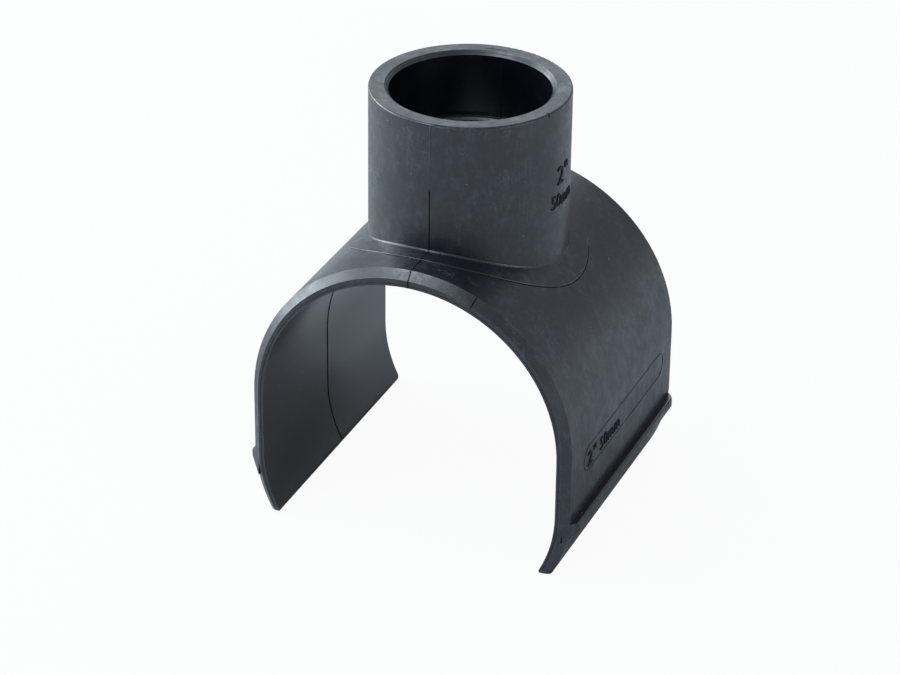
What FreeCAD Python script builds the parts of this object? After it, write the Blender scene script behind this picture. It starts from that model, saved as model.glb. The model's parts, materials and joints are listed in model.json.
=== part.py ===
"""Tapping saddle: a one-piece moulded fitting that clips over a main pipe and carries a branch socket.

Millimetres. The origin is where the main pipe's axis meets the branch's axis.
+Z runs up the branch, +Y along the main pipe, X across it. The lips of the two legs are its feet.
"""

import FreeCAD, Part
import math
import os

import Sketcher

NODE = "tapping_saddle"

# Driving sizes: name, millimetres, meaning.
SIZES = [
    ("pipe_od", 110.0, "outside diameter of the main pipe"),
    ("seat_play", 0.25, "room between seat and main pipe, on the radius"),
    ("side_wall", 4.6, "wall at the sides of the arch"),
    ("crown_rise", 0.9, "extra wall over the crown, fading out towards the sides"),
    ("saddle_length", 106.0, "length along the main pipe"),
    ("leg_drop", 21.5, "straight part of each leg, below the pipe's axis"),
    ("hook_in", 50.5, "radius of the inner face where a leg curves in under the pipe"),
    ("hook_out", 52.5, "radius of the outer face there, less than hook_in and side_wall, so that the leg thins"),
    ("lip_depth", 46.5, "lips below the pipe's axis"),
    ("lip_round", 1.5, "rounding of the lip edges"),
    ("lip_corner", 2.6, "rounding of the lip's corners, seen from the side"),
    ("end_chamfer", 2.8, "bevel round the outer edge of both end faces"),
    ("branch_od", 56.0, "outside diameter of the branch pipe"),
    ("bore_play", 0.2, "room between socket and branch pipe, on the radius"),
    ("socket_wall", 6.9, "wall of the socket"),
    ("socket_top", 108.5, "rim of the socket above the main pipe's axis"),
    ("socket_depth", 24.5, "how far the branch pipe goes in, down to the stop"),
    ("stop_width", 2.6, "ledge that stops the branch pipe"),
    ("stop_bevel", 0.8, "bevel on the inner edge of the stop"),
    ("mouth_chamfer", 1.4, "lead-in bevel of the bore"),
    ("rim_round", 0.7, "rounding of the rim's outer edge"),
    ("base_fillet", 0.5, "fillet where the socket leaves the pad"),
    ("pad_margin", 7.0, "how far the raised pad reaches past the socket"),
    ("pad_height", 0.35, "height of the pad above the arch"),
    ("pad_round", 0.25, "soft edge of the pad"),
    ("rib_depth", 25.0, "flat top of each outer rib below the pipe's axis"),
    ("rib_reach", 2.6, "how far a rib stands out from its leg"),
    ("rib_face", 3.2, "height of a rib's outer face"),
    ("rib_bevel", 4.6, "height of the bevel under a rib, down to its root"),
    ("rib_root", 2.0, "how deep a rib is rooted in its leg"),
    ("rib_round", 0.9, "rounding of both edges of a rib's outer face"),
    ("rib_inset", 0.2, "how far a rib's slanted ends lie behind the bevel of the end faces"),
    ("rib_rear_slant", 1.0, "outer part of a rib's reach that slants back more at the rear"),
]

# Sizes that follow from the driving ones, as expressions over their names.
SEAT = "{pipe_od} / 2 + {seat_play}"
OUTER = SEAT + " + {side_wall}"
BORE = "{branch_od} / 2 + {bore_play}"
SOCKET = BORE + " + {socket_wall}"
WATERWAY = BORE + " - {stop_width}"
PAD = SOCKET + " + {pad_margin}"
PAD_TOP = OUTER + " + {pad_height}"
RIB_CREST = OUTER + " + {rib_reach}"
RIB_ROOT = OUTER + " - {rib_root}"

# How far a cutting outline runs past what it cuts.
CLEAR = "2"

SHEET = "Sizes"
ORIGIN = (-1, 1)
Z_AXIS_LINE = -2
FIRST, LAST, CENTRE = 1, 2, 3

doc = FreeCAD.newDocument("saddle")
sheet = doc.addObject("Spreadsheet::Sheet", SHEET)
for row, (alias, millimetres, meaning) in enumerate(SIZES, start=1):
    sheet.set("A%d" % row, meaning)
    sheet.set("B%d" % row, str(millimetres))
    sheet.setAlias("B%d" % row, alias)
doc.recompute()

body = doc.addObject("PartDesign::Body", "Body")
body.Label = NODE


def bound(text):
    """The expression with each name pointed at its cell of the sheet."""
    for alias, _millimetres, _meaning in SIZES:
        text = text.replace("{%s}" % alias, "%s.%s" % (SHEET, alias))
    return text


def number(text):
    """What the expression comes to, in millimetres."""
    for alias, _millimetres, _meaning in SIZES:
        text = text.replace("{%s}" % alias, "(%s)" % sheet.get(alias))
    return float(FreeCAD.Units.Quantity(text).Value)


def near(first, second):
    """True if two lengths are the same to a hundredth of a millimetre."""
    return abs(first - second) < 0.01


def point(x, y):
    """Point in the plane of a sketch."""
    return FreeCAD.Vector(x, y, 0)


class Outline:
    """A sketch on one of the body's origin planes, with every dimension tied to the sheet."""

    def __init__(self, name, role, lift=None):
        planes = body.Origin.OriginFeatures
        self.sketch = body.newObject("Sketcher::SketchObject", name)
        self.sketch.AttachmentSupport = (next(p for p in planes if p.Role == role), [""])
        self.sketch.MapMode = "FlatFace"
        if lift:
            self.sketch.setExpression("AttachmentOffset.Base.z", bound(lift))

    def line(self, start, end):
        return self.sketch.addGeometry(Part.LineSegment(start, end), False)

    def arc(self, centre, radius, start, end):
        ring = Part.Circle(centre, FreeCAD.Vector(0, 0, 1), radius)
        return self.sketch.addGeometry(Part.ArcOfCircle(ring, start, end), False)

    def circle(self, radius):
        ring = Part.Circle(point(0, 0), FreeCAD.Vector(0, 0, 1), number(radius))
        index = self.sketch.addGeometry(ring, False)
        self.tie("Coincident", index, CENTRE, *ORIGIN)
        self.bind("Radius", (index,), radius)
        return self

    def polygon(self, corners):
        """Closed outline whose corners are pairs of expressions, each measured from the origin."""
        spots = [point(number(x), number(y)) for x, y in corners]
        sides = [self.line(a, b) for a, b in zip(spots, spots[1:] + spots[:1])]
        for side, following in zip(sides, sides[1:] + sides[:1]):
            self.tie("Coincident", side, LAST, following, FIRST)
        for side, (x, y) in zip(sides, corners):
            self.bind("DistanceX", (*ORIGIN, side, FIRST), x)
            self.bind("DistanceY", (*ORIGIN, side, FIRST), y)
        return self

    def tie(self, kind, *places):
        """Constraint without a size."""
        self.sketch.addConstraint(Sketcher.Constraint(kind, *places))

    def bind(self, kind, places, text):
        """Dimension tied to an expression."""
        index = self.sketch.addConstraint(Sketcher.Constraint(kind, *places, number(text)))
        self.sketch.setExpression("Constraints[%d]" % index, bound(text))


def arch_outline(name, radius, rise, hook):
    """Open cross-section of an arch: a half circle, two straight legs and the arcs that curve in below.

    The half circle's centre lies `rise` above the pipe's axis. The legs go straight down to leg_drop
    and curve in with radius `hook` from there. Gives the outline and its left and right hooks.
    """
    shape = Outline(name, "XZ_Plane")
    r, up, bend, drop = number(radius), number(rise), number(hook), number("{leg_drop}")
    turn = math.asin((number("{lip_depth}") - drop) / bend)

    crown = shape.arc(point(0, up), r, 0, math.pi)
    left_leg = shape.line(point(-r, up), point(-r, -drop))
    left_hook = shape.arc(point(bend - r, -drop), bend, math.pi, math.pi + turn)
    right_hook = shape.arc(point(r - bend, -drop), bend, -turn, 0)
    right_leg = shape.line(point(r, -drop), point(r, up))

    shape.tie("Tangent", crown, LAST, left_leg, FIRST)
    shape.tie("Tangent", left_leg, LAST, left_hook, FIRST)
    shape.tie("Tangent", right_hook, LAST, right_leg, FIRST)
    shape.tie("Tangent", right_leg, LAST, crown, FIRST)
    shape.tie("Vertical", left_leg)
    shape.tie("Vertical", right_leg)
    shape.tie("Equal", left_hook, right_hook)
    shape.tie("PointOnObject", crown, CENTRE, Z_AXIS_LINE)
    shape.bind("DistanceY", (*ORIGIN, crown, CENTRE), rise)
    shape.bind("Radius", (crown,), radius)
    shape.bind("Radius", (left_hook,), hook)
    shape.bind("DistanceY", (left_leg, LAST, *ORIGIN), "{leg_drop}")
    shape.bind("DistanceY", (right_leg, FIRST, *ORIGIN), "{leg_drop}")
    return shape, left_hook, right_hook


def outer_outline():
    """Outside of the arch, closed by a level line at the lips."""
    shape, left_hook, right_hook = arch_outline("ArchOutline", OUTER, "{crown_rise}", "{hook_out}")
    low, drop, bend = number("{lip_depth}"), number("{leg_drop}"), number("{hook_out}")
    foot = number(OUTER) - bend + math.sqrt(bend ** 2 - (low - drop) ** 2)
    base = shape.line(point(-foot, -low), point(foot, -low))
    shape.tie("Coincident", left_hook, LAST, base, FIRST)
    shape.tie("Coincident", base, LAST, right_hook, FIRST)
    shape.tie("Horizontal", base)
    shape.bind("DistanceY", (base, FIRST, *ORIGIN), "{lip_depth}")
    return shape


def lip_outline():
    """What the outer edge of each lip loses: the corner outside an arc that touches hook and base."""
    shape = Outline("LipOutline", "XZ_Plane")
    low, drop, bend = number("{lip_depth}"), number("{leg_drop}"), number("{hook_out}")
    soft, clear, middle = number("{lip_round}"), number(CLEAR), number(OUTER) - bend
    turn = math.asin((low - soft - drop) / (bend - soft))
    for side in (1, -1):
        centre = point(side * (middle + (bend - soft) * math.cos(turn)), soft - low)
        touch = point(side * (middle + bend * math.cos(turn)), -drop - bend * math.sin(turn))
        if side > 0:
            edge, foot, top = shape.arc(centre, soft, -math.pi / 2, -turn), FIRST, LAST
        else:
            edge, foot, top = shape.arc(centre, soft, math.pi + turn, 3 * math.pi / 2), LAST, FIRST
        far = touch.x + side * clear
        out = shape.line(touch, point(far, touch.y))
        down = shape.line(point(far, touch.y), point(far, -low - clear))
        back = shape.line(point(far, -low - clear), point(centre.x, -low - clear))
        up = shape.line(point(centre.x, -low - clear), point(centre.x, -low))
        spoke = shape.line(point(side * middle, -drop), touch)
        shape.sketch.setConstruction(spoke, True)

        shape.tie("Coincident", edge, top, out, FIRST)
        shape.tie("Coincident", out, LAST, down, FIRST)
        shape.tie("Coincident", down, LAST, back, FIRST)
        shape.tie("Coincident", back, LAST, up, FIRST)
        shape.tie("Coincident", up, LAST, edge, foot)
        shape.tie("Horizontal", out)
        shape.tie("Vertical", down)
        shape.tie("Horizontal", back)
        shape.tie("Vertical", up)
        shape.tie("Vertical", edge, CENTRE, edge, foot)
        shape.tie("Coincident", spoke, LAST, edge, top)
        shape.tie("PointOnObject", edge, CENTRE, spoke)
        shape.bind("DistanceX", (*ORIGIN, spoke, FIRST), "%d * (%s - {hook_out})" % (side, OUTER))
        shape.bind("DistanceY", (spoke, FIRST, *ORIGIN), "{leg_drop}")
        shape.bind("Distance", (spoke,), "{hook_out}")
        shape.bind("Radius", (edge,), "{lip_round}")
        shape.bind("DistanceY", (edge, foot, *ORIGIN), "{lip_depth}")
        shape.bind("DistanceX", (out, FIRST, out, LAST), "%d * %s" % (side, CLEAR))
        shape.bind("DistanceY", (up, FIRST, up, LAST), CLEAR)
    return shape


def seat_outline():
    """The room for the main pipe, flared at the lips so that their inner edges come out rounded."""
    shape, left_hook, right_hook = arch_outline("SeatOutline", SEAT, "0", "{hook_in}")
    low, drop, bend = number("{lip_depth}"), number("{leg_drop}"), number("{hook_in}")
    soft = number("{lip_round}")
    turn = math.asin((low - soft - drop) / (bend + soft))
    middle = number(SEAT) - bend + (bend + soft) * math.cos(turn)
    bottom = low + number(CLEAR)

    left_flare = shape.arc(point(-middle, soft - low), soft, -math.pi / 2, turn)
    left_side = shape.line(point(-middle, -low), point(-middle, -bottom))
    base = shape.line(point(-middle, -bottom), point(middle, -bottom))
    right_side = shape.line(point(middle, -bottom), point(middle, -low))
    right_flare = shape.arc(point(middle, soft - low), soft, math.pi - turn, 3 * math.pi / 2)

    shape.tie("Tangent", left_hook, LAST, left_flare, LAST)
    shape.tie("Coincident", left_flare, FIRST, left_side, FIRST)
    shape.tie("Coincident", left_side, LAST, base, FIRST)
    shape.tie("Coincident", base, LAST, right_side, FIRST)
    shape.tie("Coincident", right_side, LAST, right_flare, LAST)
    shape.tie("Tangent", right_flare, FIRST, right_hook, FIRST)
    shape.tie("Vertical", left_side)
    shape.tie("Vertical", right_side)
    shape.tie("Horizontal", base)
    shape.tie("Vertical", left_flare, CENTRE, left_flare, FIRST)
    shape.tie("Vertical", right_flare, CENTRE, right_flare, LAST)
    shape.bind("Radius", (left_flare,), "{lip_round}")
    shape.bind("Radius", (right_flare,), "{lip_round}")
    shape.bind("DistanceY", (left_flare, FIRST, *ORIGIN), "{lip_depth}")
    shape.bind("DistanceY", (right_flare, LAST, *ORIGIN), "{lip_depth}")
    shape.bind("DistanceY", (base, FIRST, *ORIGIN), "{lip_depth} + %s" % CLEAR)
    return shape


def over_arch_outline(name, radius, half_width, top):
    """Closed outline of all that lies over an arc about the arch's centre, up to a level line."""
    shape = Outline(name, "XZ_Plane")
    r, wide, high, up = number(radius), number(half_width), number(top), number("{crown_rise}")
    rim = up + math.sqrt(r * r - wide * wide)
    open_angle = math.acos(wide / r)

    arc = shape.arc(point(0, up), r, open_angle, math.pi - open_angle)
    left = shape.line(point(-wide, rim), point(-wide, high))
    level = shape.line(point(-wide, high), point(wide, high))
    right = shape.line(point(wide, high), point(wide, rim))

    shape.tie("Coincident", arc, LAST, left, FIRST)
    shape.tie("Coincident", left, LAST, level, FIRST)
    shape.tie("Coincident", level, LAST, right, FIRST)
    shape.tie("Coincident", right, LAST, arc, FIRST)
    shape.tie("Vertical", left)
    shape.tie("Vertical", right)
    shape.tie("Horizontal", level)
    shape.tie("PointOnObject", arc, CENTRE, Z_AXIS_LINE)
    shape.bind("DistanceY", (*ORIGIN, arc, CENTRE), "{crown_rise}")
    shape.bind("Radius", (arc,), radius)
    shape.bind("DistanceX", (level, FIRST, *ORIGIN), half_width)
    shape.bind("DistanceX", (*ORIGIN, level, LAST), half_width)
    shape.bind("DistanceY", (*ORIGIN, level, FIRST), top)
    return shape


def pad(name, outline, length, both_ways=False):
    """Adds material to the body, along its sketch's normal or to both sides of it."""
    feature = body.newObject("PartDesign::Pad", name)
    feature.Profile = outline.sketch
    feature.SideType = "Symmetric" if both_ways else "One side"
    feature.setExpression("Length", bound(length))
    doc.recompute()
    return feature


def pocket(name, outline, length=None):
    """Cuts the body below a sketch, or right through to both sides of it when no length is given."""
    before = body.Shape.Volume
    feature = body.newObject("PartDesign::Pocket", name)
    feature.Profile = outline.sketch
    if length:
        feature.setExpression("Length", bound(length))
    else:
        feature.SideType = "Symmetric"
        feature.Type = "ThroughAll"
    doc.recompute()
    if body.Shape.Volume >= before:
        raise RuntimeError(name + " cuts nothing")
    return feature


def edges_where(test):
    """Names of the body's edges on which every sampled point passes the test."""
    edges = enumerate(body.Shape.Edges, start=1)
    return ["Edge%d" % index for index, edge in edges if all(test(p) for p in edge.discretize(9))]


def dress(kind, name, edges, amount):
    """Fillet or chamfer along some of the body's edges."""
    if not edges:
        raise RuntimeError(name + " finds no edge")
    base = body.Tip
    feature = body.newObject("PartDesign::" + kind, name)
    feature.Base = (base, edges)
    feature.setExpression("Radius" if kind == "Fillet" else "Size", bound(amount))
    doc.recompute()
    return feature


def off_branch(p):
    """Distance of a point from the branch's axis."""
    return math.hypot(p.x, p.y)


def lip_corner_outline():
    """What the lips lose at the ends of the saddle, seen from the side: two facets round each corner."""
    shape = Outline("LipCornerOutline", "YZ_Plane")
    end, low, inner = "{saddle_length} / 2", "-{lip_depth}", "0.3 * {lip_corner}"
    for side in (1, -1):
        shape.polygon([("%d * (%s)" % (side, y), z) for y, z in (
            (end + " - {lip_corner}", low),
            ("%s - %s" % (end, inner), "%s + %s" % (low, inner)),
            (end, low + " + {lip_corner}"),
            ("%s + %s" % (end, CLEAR), low + " + {lip_corner}"),
            ("%s + %s" % (end, CLEAR), "%s - %s" % (low, CLEAR)),
            (end + " - {lip_corner}", "%s - %s" % (low, CLEAR)))])
    return shape


def build_arch():
    """The arch, still solid inside, with a bevel round the outer edge of both end faces."""
    pad("Arch", outer_outline(), "{saddle_length}", both_ways=True)
    end, lip = number("{saddle_length} / 2"), -number("{lip_depth}")
    rims = [
        name for name in edges_where(lambda p: near(abs(p.y), end))
        if not all(near(v.Z, lip) for v in body.Shape.getElement(name).Vertexes)
    ]
    dress("Chamfer", "EndBevels", rims, "{end_chamfer}")
    pocket("LipCorners", lip_corner_outline())
    pocket("LipRounds", lip_outline())


def build_socket():
    """Round pad on the crown, the socket on it, and their soft edges."""
    pad("PadDisc", Outline("PadCircle", "XY_Plane").circle(PAD), PAD_TOP + " + {crown_rise}")
    pocket("PadTrim", over_arch_outline("PadSurface", PAD_TOP, "%s + %s" % (PAD, CLEAR),
                                        "%s + {crown_rise} + %s" % (PAD_TOP, CLEAR)))
    rim, top, rise = number(PAD), number(PAD_TOP), number("{crown_rise}")
    pad_edge = edges_where(lambda p: near(off_branch(p), rim) and near(math.hypot(p.x, p.z - rise), top))
    dress("Fillet", "PadRound", pad_edge, "{pad_round}")

    pad("Socket", Outline("SocketCircle", "XY_Plane").circle(SOCKET), "{socket_top}")
    wall, high = number(SOCKET), number("{socket_top}")
    foot = edges_where(lambda p: near(off_branch(p), wall) and p.z < number("{socket_top} - {base_fillet}"))
    dress("Fillet", "SocketFillet", foot, "{base_fillet}")
    rim_edge = edges_where(lambda p: near(off_branch(p), wall) and near(p.z, high))
    dress("Fillet", "RimRound", rim_edge, "{rim_round}")


def build_seat():
    """The seat for the main pipe, open below between the legs."""
    pocket("Seat", seat_outline())


def rib_end_outline():
    """What the ribs lose at their four ends, outside a slant of 45 degrees, with a bend at the rear."""
    shape = Outline("RibEndOutline", "XY_Plane", "-{rib_depth}")
    start = OUTER + " - {end_chamfer} - {rib_inset}"
    reach = "{end_chamfer} + {rib_inset} + {rib_reach} + " + CLEAR
    near_x, far_x = "%s - %s" % (start, CLEAR), "%s + %s" % (start, reach)
    far_y, near_y = "{saddle_length} / 2 + " + CLEAR, "{saddle_length} / 2 - (%s)" % reach
    turn_x = RIB_CREST + " - {rib_rear_slant}"
    turn_y = "{saddle_length} / 2 + %s - (%s)" % (start, turn_x)
    last_y = "%s - 2 * (%s - (%s))" % (turn_y, far_x, turn_x)
    for side in (1, -1):
        for end, bend in ((-1, [(far_x, near_y)]), (1, [(turn_x, turn_y), (far_x, last_y)])):
            shape.polygon([("%d * (%s)" % (side, x), "%d * (%s)" % (end, y)) for x, y in (
                [(near_x, far_y)] + bend + [(far_x, far_y)])])
    return shape


def build_ribs():
    """A rib along the outside of each leg, slanted at both ends like the end bevels."""
    corners = [
        (RIB_ROOT, "-{rib_depth}"),
        (RIB_CREST, "-{rib_depth}"),
        (RIB_CREST, "-({rib_depth} + {rib_face})"),
        (RIB_ROOT, "-({rib_depth} + {rib_face} + {rib_bevel})"),
    ]
    mirrored = [("-(%s)" % across, down) for across, down in corners]
    outline = Outline("RibOutline", "XZ_Plane").polygon(corners).polygon(mirrored)
    pad("Ribs", outline, "{saddle_length}", both_ways=True)
    crest, levels = number(RIB_CREST), [-number("{rib_depth}"), -number("{rib_depth} + {rib_face}")]
    long_edges = edges_where(lambda p: near(abs(p.x), crest) and any(near(p.z, z) for z in levels))
    dress("Fillet", "RibRounds", long_edges, "{rib_round}")

    pocket("RibEndSlants", rib_end_outline(), "{rib_face} + {rib_bevel} + " + CLEAR)


def build_bore():
    """The socket's bore down to its stop, and the waterway on into the seat."""
    pocket("Bore", Outline("BoreCircle", "XY_Plane", "{socket_top}").circle(BORE), "{socket_depth}")
    pocket("Waterway", Outline("WaterwayCircle", "XY_Plane", "{socket_top}").circle(WATERWAY), "{socket_top}")
    bore, top = number(BORE), number("{socket_top}")
    narrow, stop = number(WATERWAY), number("{socket_top} - {socket_depth}")
    mouth = edges_where(lambda p: near(off_branch(p), bore) and near(p.z, top))
    dress("Chamfer", "MouthBevel", mouth, "{mouth_chamfer}")
    ledge = edges_where(lambda p: near(off_branch(p), narrow) and near(p.z, stop))
    dress("Chamfer", "StopBevel", ledge, "{stop_bevel}")


def check():
    """Stops if any object failed, a sketch is left loose or the body isn't one sound solid."""
    for item in doc.Objects:
        if "Invalid" in item.State or "Error" in item.State:
            raise RuntimeError("%s is %s" % (item.Name, item.State))
        if item.isDerivedFrom("Sketcher::SketchObject") and not item.FullyConstrained:
            raise RuntimeError("%s isn't fully constrained" % item.Name)
    shape = body.Shape
    if shape.isNull() or not shape.isValid() or len(shape.Solids) != 1:
        raise RuntimeError("%s isn't one sound solid" % NODE)


build_arch()
build_socket()
build_seat()
build_ribs()
build_bore()
doc.recompute()
check()
os.makedirs("parts", exist_ok=True)
body.Shape.exportStep("parts/%s.step" % body.Label)
box = body.Shape.optimalBoundingBox(True, False)
print("volume %.0f mm3, box x %.2f..%.2f y %.2f..%.2f z %.2f..%.2f" % (
    body.Shape.Volume, box.XMin, box.XMax, box.YMin, box.YMax, box.ZMin, box.ZMax))
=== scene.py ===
"""Looks of the tapping saddle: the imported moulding, its fine moulding marks, and a plain studio.

Metres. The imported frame's axes hold: +Z up the branch, +Y along the main pipe, X across it.
"""

import json
import logging
import math
from dataclasses import dataclass
from enum import Enum

import bpy
import bmesh
import numpy as np
from mathutils import Matrix, Vector

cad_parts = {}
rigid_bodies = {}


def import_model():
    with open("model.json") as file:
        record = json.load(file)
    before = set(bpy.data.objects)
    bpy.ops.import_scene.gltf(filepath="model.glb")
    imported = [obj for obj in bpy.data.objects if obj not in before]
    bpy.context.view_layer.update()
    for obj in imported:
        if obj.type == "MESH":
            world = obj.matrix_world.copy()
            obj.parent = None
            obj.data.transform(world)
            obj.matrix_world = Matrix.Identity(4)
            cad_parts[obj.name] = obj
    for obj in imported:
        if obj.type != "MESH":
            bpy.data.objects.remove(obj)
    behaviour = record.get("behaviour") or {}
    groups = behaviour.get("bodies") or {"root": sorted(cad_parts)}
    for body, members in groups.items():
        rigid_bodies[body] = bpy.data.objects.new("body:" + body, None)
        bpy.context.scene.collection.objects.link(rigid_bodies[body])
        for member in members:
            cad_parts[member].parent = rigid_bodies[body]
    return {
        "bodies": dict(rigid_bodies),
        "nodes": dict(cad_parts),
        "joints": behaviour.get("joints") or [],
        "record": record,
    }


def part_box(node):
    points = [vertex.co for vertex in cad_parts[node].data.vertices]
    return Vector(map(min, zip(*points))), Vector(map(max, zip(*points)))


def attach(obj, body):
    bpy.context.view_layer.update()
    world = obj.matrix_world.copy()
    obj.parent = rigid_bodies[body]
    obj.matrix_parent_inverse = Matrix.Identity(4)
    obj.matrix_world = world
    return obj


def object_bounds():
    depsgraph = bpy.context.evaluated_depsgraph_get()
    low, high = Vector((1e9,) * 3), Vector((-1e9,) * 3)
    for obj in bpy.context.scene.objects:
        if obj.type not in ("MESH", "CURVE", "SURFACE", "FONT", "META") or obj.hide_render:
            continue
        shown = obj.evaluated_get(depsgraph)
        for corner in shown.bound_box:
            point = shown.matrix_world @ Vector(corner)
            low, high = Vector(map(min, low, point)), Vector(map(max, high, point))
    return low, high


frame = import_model()
CAD_BOX = [list(corner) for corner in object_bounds()]

log = logging.getLogger("saddle")

MM = 0.001
SLANT = math.sqrt(0.5)
NODE = "tapping_saddle"
BODY = "root"
FLOOR_GAP = 0.05 * MM


class End(Enum):
    """The two ends of the saddle along the main pipe, as the sign of Y."""

    FRONT = -1
    REAR = 1


class Finish(Enum):
    """The finishes of the moulding and its marks."""

    PLAIN = "plain"
    ETCHED = "etched"
    # Near-black fine lines: painted shade.
    PAINTED_SHADE = "painted_shade"


@dataclass(frozen=True)
class SaddleForm:
    """Sizes of the moulding's surfaces, in metres, which the marks on it follow.

    Radii and lengths that the record holds come from the record; the rest are the moulding's own.
    """

    seat: float
    bore: float
    half_length: float
    rim_height: float
    side_wall: float = 4.6 * MM
    crown_rise: float = 0.9 * MM
    socket_wall: float = 6.9 * MM
    base_fillet: float = 0.5 * MM
    pad_margin: float = 7.0 * MM
    pad_height: float = 0.35 * MM
    pad_round: float = 0.25 * MM
    rim_round: float = 0.7 * MM
    mouth_chamfer: float = 1.4 * MM
    socket_depth: float = 24.5 * MM
    stop_width: float = 2.6 * MM
    end_chamfer: float = 2.8 * MM
    leg_drop: float = 21.5 * MM
    hook_in: float = 50.5 * MM
    lip_depth: float = 46.5 * MM
    lip_round: float = 1.5 * MM
    lip_corner: float = 2.6 * MM

    @classmethod
    def from_frame(cls, packed: dict) -> "SaddleForm":
        """Reads the seat, the bore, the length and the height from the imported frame.


        Returns:
            The sizes of the moulding.
        """
        mounts = {mount["name"]: mount for mount in packed["record"]["mounts"]}
        seat = mounts["pipe_seat"]["dims"]
        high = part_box(NODE)[1]
        return cls(
            seat=seat["r_mm"] * MM,
            bore=mounts["branch_socket"]["dims"]["r_mm"] * MM,
            half_length=seat["length_mm"] * MM / 2,
            rim_height=high.z,
        )

    @property
    def arch(self) -> float:
        """Radius of the arch's outer face."""
        return self.seat + self.side_wall

    @property
    def socket(self) -> float:
        """Radius of the socket's outer face."""
        return self.bore + self.socket_wall

    @property
    def waterway(self) -> float:
        """Radius of the waterway below the stop."""
        return self.bore - self.stop_width

    @property
    def pad(self) -> float:
        """Radius of the raised pad round the socket."""
        return self.socket + self.pad_margin

    @property
    def pad_top(self) -> float:
        """Radius of the pad's top face about the arch's own centre line."""
        return self.arch + self.pad_height


def new_object(name: str, data: bpy.types.ID) -> bpy.types.Object:
    """Makes an object that carries the data, in the scene."""
    made = bpy.data.objects.new(name, data)
    bpy.context.scene.collection.objects.link(made)
    return made


class MeshMaker:
    """Turns arrays of points and faces into pieces of the object."""

    @staticmethod
    def grid_faces(rows: int, columns: int, loop_rows: bool, loop_columns: bool) -> np.ndarray:
        """Quads of a grid whose points are numbered row by row.

        Each quad joins a point with its right neighbour and with the two below, and a direction that
        loops joins its last points with its first.

        Args:
            rows: points down the grid.
            columns: points across it.
            loop_rows: True if the last row joins the first.
            loop_columns: True if the last column joins the first.

        Returns:
            Point numbers, four to a face.
        """
        row = np.arange(rows if loop_rows else rows - 1)[:, None]
        column = np.arange(columns if loop_columns else columns - 1)[None, :]
        below, beside = (row + 1) % rows, (column + 1) % columns
        quads = [row * columns + column, row * columns + beside,
                 below * columns + beside, below * columns + column]
        return np.stack(np.broadcast_arrays(*quads), axis=-1).reshape(-1, 4)

    @staticmethod
    def piece(name: str, points: np.ndarray, faces: list, smooth: bool = True) -> bpy.types.Object:
        """Makes an object at the origin from points in the frame's axes.

        Args:
            name: the piece's name.
            points: its points, one to a row, in metres.
            faces: point numbers of each face.
            smooth: True for faces that shade as one curved surface.

        Returns:
            The new object, in the scene.
        """
        mesh = bpy.data.meshes.new(name)
        mesh.from_pydata(points.tolist(), [], [list(map(int, face)) for face in faces])
        mesh.validate()
        mesh.polygons.foreach_set("use_smooth", np.full(len(mesh.polygons), smooth))
        return new_object(name, mesh)


@dataclass(frozen=True)
class Ridge:
    """A low raised line with a rounded top, rooted a little below the surface that it runs along.

    Its cross-section is a half wave: the height over the surface is `height` times the cosine of
    the share of the way from the middle to the edge, and it closes below the surface.
    """

    width: float
    height: float
    root: float = 0.15 * MM
    crown_points: int = 7

    def section(self) -> np.ndarray:
        """Offsets across and above the surface, a row for each point round the closed section."""
        share = np.linspace(-1.0, 1.0, self.crown_points)
        crown = np.stack([share * self.width / 2, self.height * np.cos(share * math.pi / 2)], axis=1)
        base = np.array([[self.width / 2, -self.root], [-self.width / 2, -self.root]])
        return np.concatenate([crown, base])

    def along(self, name: str, path: np.ndarray, normals: np.ndarray, loop: bool) -> bpy.types.Object:
        """Carries the section along a path that lies on a surface.

        Each point is the path's point, plus the section's first number along the side direction
        and its second along the surface normal. The side is the normal crossed with the path's
        direction.

        Args:
            name: the piece's name.
            path: points on the surface, in metres.
            normals: the surface's outward normal at each.
            loop: True if the path closes on itself.

        Returns:
            The new piece.
        """
        if loop:
            heading = np.roll(path, -1, axis=0) - np.roll(path, 1, axis=0)
        else:
            heading = np.gradient(path, axis=0)
        heading = heading / np.linalg.norm(heading, axis=1, keepdims=True)
        side = np.cross(heading, normals)
        side = side / np.linalg.norm(side, axis=1, keepdims=True)
        section = self.section()
        points = (path[:, None, :] + section[None, :, :1] * side[:, None, :]
                  + section[None, :, 1:] * normals[:, None, :])
        rows, columns = points.shape[:2]
        faces = MeshMaker.grid_faces(rows, columns, loop, True).tolist()
        if not loop:
            faces.append(list(range(columns)))
            faces.append(list(range(rows * columns - 1, (rows - 1) * columns - 1, -1)))
        made = MeshMaker.piece(name, points.reshape(-1, 3), faces)
        face_outwards(made)
        return made


def face_outwards(piece: bpy.types.Object) -> None:
    """Turns a closed mesh's faces outwards."""
    work = bmesh.new()
    work.from_mesh(piece.data)
    bmesh.ops.recalc_face_normals(work, faces=work.faces)
    work.to_mesh(piece.data)
    work.free()


def distance_along(corners: np.ndarray) -> np.ndarray:
    """Distance of each corner of a line from its start, added up from corner to corner."""
    return np.concatenate([[0.0], np.cumsum(np.linalg.norm(np.diff(corners, axis=0), axis=1))])


def even_path(corners: np.ndarray, step: float) -> np.ndarray:
    """Points along a line through corners, ends included, at an even spacing of at most the step."""
    reach = distance_along(corners)
    places = np.linspace(0.0, reach[-1], max(2, int(math.ceil(reach[-1] / step)) + 1))
    return np.stack([np.interp(places, reach, corners[:, axis]) for axis in range(3)], axis=1)


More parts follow.
